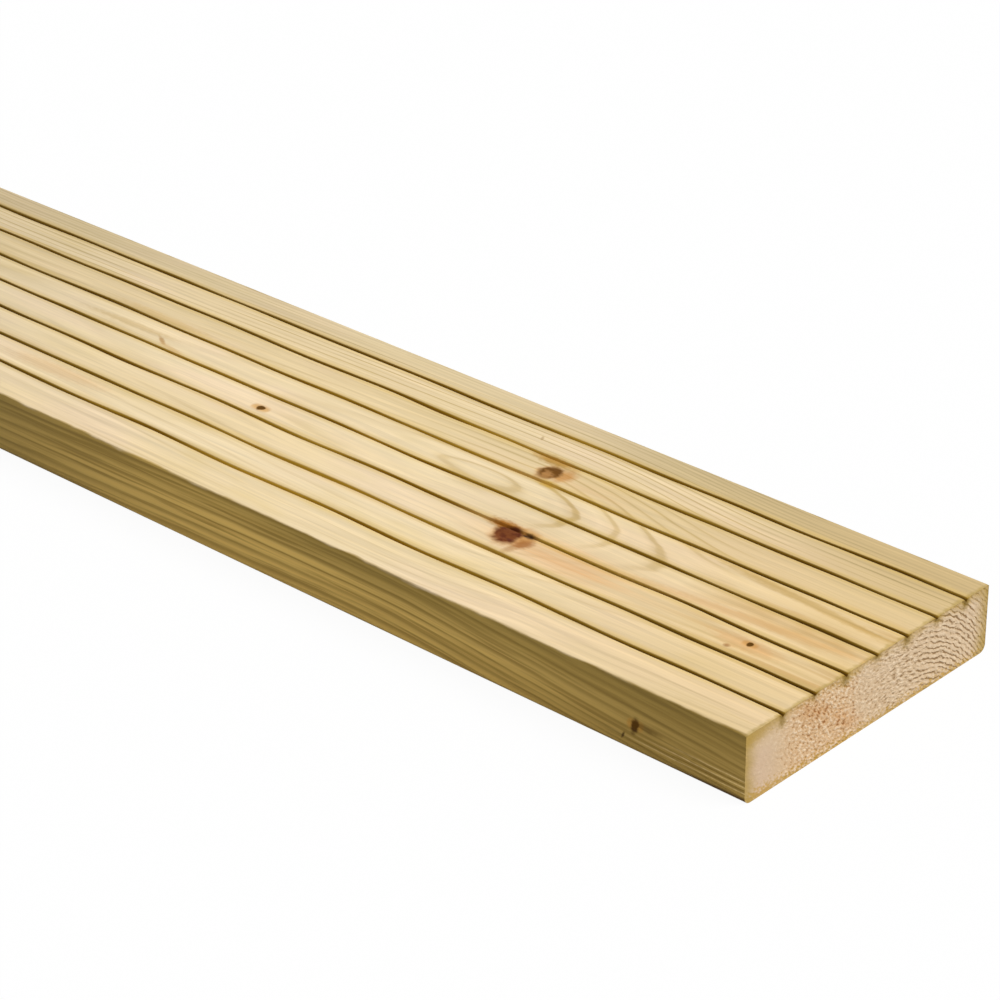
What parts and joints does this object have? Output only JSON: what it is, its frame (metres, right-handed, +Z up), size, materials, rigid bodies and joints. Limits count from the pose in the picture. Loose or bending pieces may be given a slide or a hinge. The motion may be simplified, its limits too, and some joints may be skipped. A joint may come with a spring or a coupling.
{
  "type": "decking board",
  "caption": "Straight softwood decking board of flat rectangular section: narrow grooves along the walking face, rounded long edges, plain underside and square-sawn ends.",
  "frame": {"origin": "centre of the underside, half way along the board", "axes": "+X along the board, +Y across it, +Z up through its thickness, with the grooved walking face on top"},
  "size_m": [1.8, 0.14, 0.028],
  "materials": {
    "treated_pine": "planed and pressure treated, unsealed, with knots and a green-brown tint on the edges"
  },
  "bodies": {
    "root": {"decking_board": "treated_pine"}
  },
  "joints": []
}
